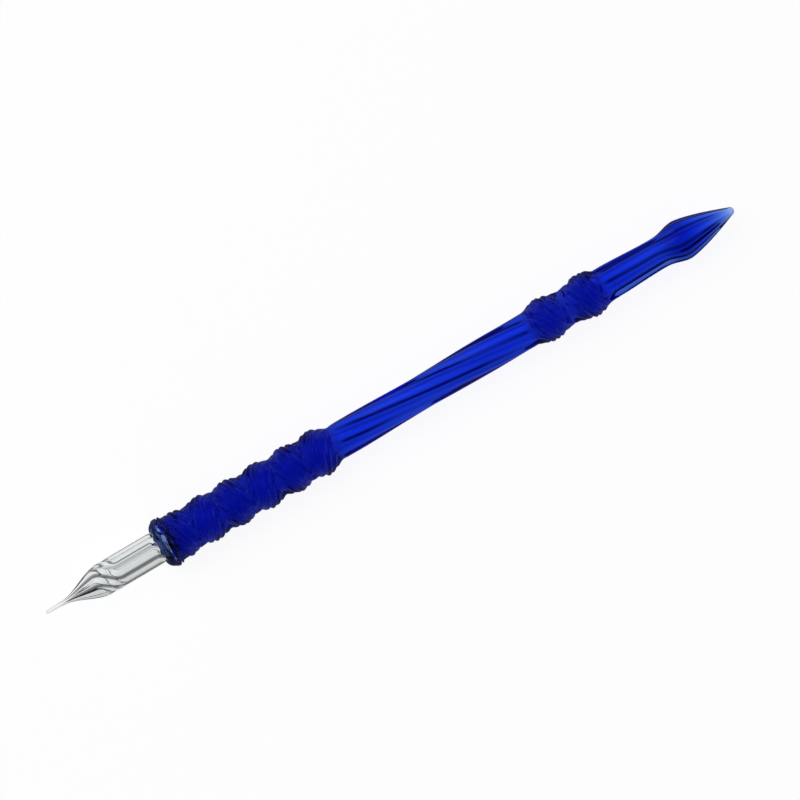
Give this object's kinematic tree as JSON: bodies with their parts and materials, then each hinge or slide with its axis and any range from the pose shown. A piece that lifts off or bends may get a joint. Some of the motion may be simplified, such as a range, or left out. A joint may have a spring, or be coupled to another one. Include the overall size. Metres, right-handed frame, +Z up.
{
  "type": "glass dip pen",
  "caption": "Lampworked glass dip pen: clear grooved nib welded to a fluted cobalt-blue holder with a bulged grip, twisted barrel, double knot and pointed tail.",
  "frame": {"origin": "middle of the pen's length, on the desk plane that the collar's lip rests on, straight below the pen's axis", "axes": "+X along the pen from nib to tail, +Z up from the desk, +Y to the left of someone looking from nib to tail"},
  "size_m": [0.175, 0.0118, 0.0118],
  "materials": {
    "clear_glass": "fire-polished clear glass",
    "gather_glass": "fire-polished clear glass with a pale blue tint bled from the holder",
    "cobalt_glass": "fire-polished transparent cobalt-blue glass"
  },
  "bodies": {
    "root": {"nib": "clear_glass", "weld_collar": "gather_glass", "holder": "cobalt_glass"}
  },
  "joints": []
}
